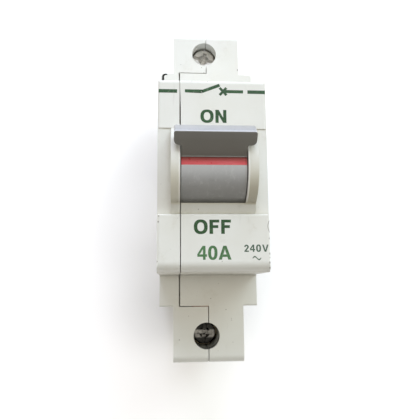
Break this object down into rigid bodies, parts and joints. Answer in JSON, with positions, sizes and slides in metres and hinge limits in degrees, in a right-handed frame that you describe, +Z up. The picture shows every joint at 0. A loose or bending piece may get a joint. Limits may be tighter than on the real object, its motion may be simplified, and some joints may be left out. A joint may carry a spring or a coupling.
{
  "type": "miniature circuit breaker",
  "caption": "Miniature circuit breaker with a toggle lever and screw terminals at both ends, clips onto a top-hat mounting rail",
  "frame": {"origin": "centre of the rail seat: on the plane that rests on the rail's flanges, on the rail's centre line and the middle of the module's width", "axes": "+Z is up as installed with the toggle up for on, the front face and toggle point to -Y, the rail is behind at +Y, +X runs along the rail to the right seen from the front"},
  "size_m": [0.0254, 0.0753, 0.0896],
  "materials": {
    "housing": "off-white moulded thermoset, light texture",
    "toggle_grey": "grey moulded thermoplastic",
    "red_bar": "red moulded plastic",
    "steel": "zinc-plated steel",
    "spring_steel": "spring wire",
    "copper": "bare copper",
    "brass": "nickel-flashed brass",
    "silver_tip": "silver alloy contact",
    "dark_plastic": "dark moulded plastic",
    "clip_plastic": "off-white moulded plastic",
    "fibre": "vulcanised fibre sheet",
    "bimetal": "rolled bimetal"
  },
  "bodies": {
    "housing": {"left_cover": "housing", "right_base": "housing", "housing_rivets": "steel", "toggle_pin": "steel", "carrier_pin": "steel", "toggle_spring": "spring_steel", "contact_spring": "spring_steel", "flexible_braid": "copper", "coil_winding": "copper", "coil_bobbin": "dark_plastic", "magnet_yoke": "steel", "fixed_core": "steel", "plunger_spring": "spring_steel", "load_strip": "copper", "calibration_screw": "brass", "fixed_contact_strip": "copper", "fixed_contact_tip": "silver_tip", "front_arc_runner": "steel", "arc_splitter_plates": "steel", "arc_side_left": "fibre", "arc_side_right": "fibre", "line_strip": "copper", "top_terminal_box": "brass", "bottom_terminal_box": "brass"},
    "toggle": {"toggle": "toggle_grey", "toggle_indicator": "red_bar"},
    "link": {"drive_link": "steel"},
    "carrier": {"contact_carrier": "dark_plastic", "moving_contact_arm": "copper", "moving_contact_tip": "silver_tip", "latch_pin": "steel"},
    "latch": {"latch_lever": "steel"},
    "plunger": {"plunger": "steel", "pusher_pin": "brass"},
    "trip_lever": {"trip_lever": "dark_plastic"},
    "bimetal": {"bimetal_strip": "bimetal"},
    "rail_clip": {"rail_clip": "clip_plastic"},
    "top_clamp": {"top_clamp_plate": "steel"},
    "top_screw": {"top_terminal_screw": "steel"},
    "bottom_clamp": {"bottom_clamp_plate": "steel"},
    "bottom_screw": {"bottom_terminal_screw": "steel"}
  },
  "joints": [
    {"name": "toggle_hinge", "type": "hinge", "parent": "housing", "child": "toggle", "pos_m": [0, -0.0577, 0.0012], "axis": [1, 0, 0], "range_deg": [0, 70], "deforming": ["toggle_spring", "contact_spring", "flexible_braid"]},
    {"name": "link_hinge", "type": "hinge", "parent": "toggle", "child": "link", "pos_m": [0, -0.0525, 0.0012], "axis": [1, 0, 0], "range_deg": [-84, 1]},
    {"name": "carrier_hinge", "type": "hinge", "parent": "housing", "child": "carrier", "pos_m": [0, -0.031, 0.016], "axis": [1, 0, 0], "range_deg": [-13.5, 0], "deforming": ["contact_spring", "flexible_braid"]},
    {"name": "latch_hinge", "type": "hinge", "parent": "carrier", "child": "latch", "pos_m": [0, -0.0335, 0.0095], "axis": [1, 0, 0], "range_deg": [0, 6.2]},
    {"name": "plunger_slide", "type": "slide", "parent": "housing", "child": "plunger", "axis": [0, -1, 0], "range_m": [0, 0.002], "stiffness_N_per_m": 60, "springref_m": -0.002, "deforming": ["plunger_spring"]},
    {"name": "trip_lever_hinge", "type": "hinge", "parent": "housing", "child": "trip_lever", "pos_m": [0, -0.031, 0.016], "axis": [1, 0, 0], "range_deg": [-12.2, 0]},
    {"name": "bimetal_flex", "type": "hinge", "parent": "housing", "child": "bimetal", "pos_m": [0, -0.0445, -0.0206], "axis": [1, 0, 0], "range_deg": [0, 1.8], "stiffness_Nm_per_rad": 0.5, "springref_deg": -2.86},
    {"name": "rail_clip_slide", "type": "slide", "parent": "housing", "child": "rail_clip", "axis": [0, 0, -1], "range_m": [0, 0.0045], "stiffness_N_per_m": 300, "springref_m": -0.003},
    {"name": "top_clamp_slide", "type": "slide", "parent": "housing", "child": "top_clamp", "axis": [0, 1, 0], "range_m": [0, 0.0065]},
    {"name": "top_screw_turn", "type": "hinge", "parent": "top_clamp", "child": "top_screw", "pos_m": [-0.00055, -0.0346, 0.0393], "axis": [0, 1, 0], "range_deg": [0, 2926]},
    {"name": "bottom_clamp_slide", "type": "slide", "parent": "housing", "child": "bottom_clamp", "axis": [0, 1, 0], "range_m": [-0.0065, 0]},
    {"name": "bottom_screw_turn", "type": "hinge", "parent": "bottom_clamp", "child": "bottom_screw", "pos_m": [-0.00055, -0.027, -0.0381], "axis": [0, 1, 0], "range_deg": [-2926, 0]}
  ],
  "couplings": [
    {"joint": "link_hinge", "follows": "toggle_hinge", "ratio": -1.1778},
    {"joint": "carrier_hinge", "follows": "toggle_hinge", "ratio": -0.18498},
    {"joint": "trip_lever_hinge", "follows": "plunger_slide", "rad_per_m": -104.72},
    {"joint": "latch_hinge", "follows": "plunger_slide", "rad_per_m": 52.36},
    {"joint": "top_screw_turn", "follows": "top_clamp_slide", "rad_per_m": 7854},
    {"joint": "bottom_screw_turn", "follows": "bottom_clamp_slide", "rad_per_m": 7854}
  ]
}
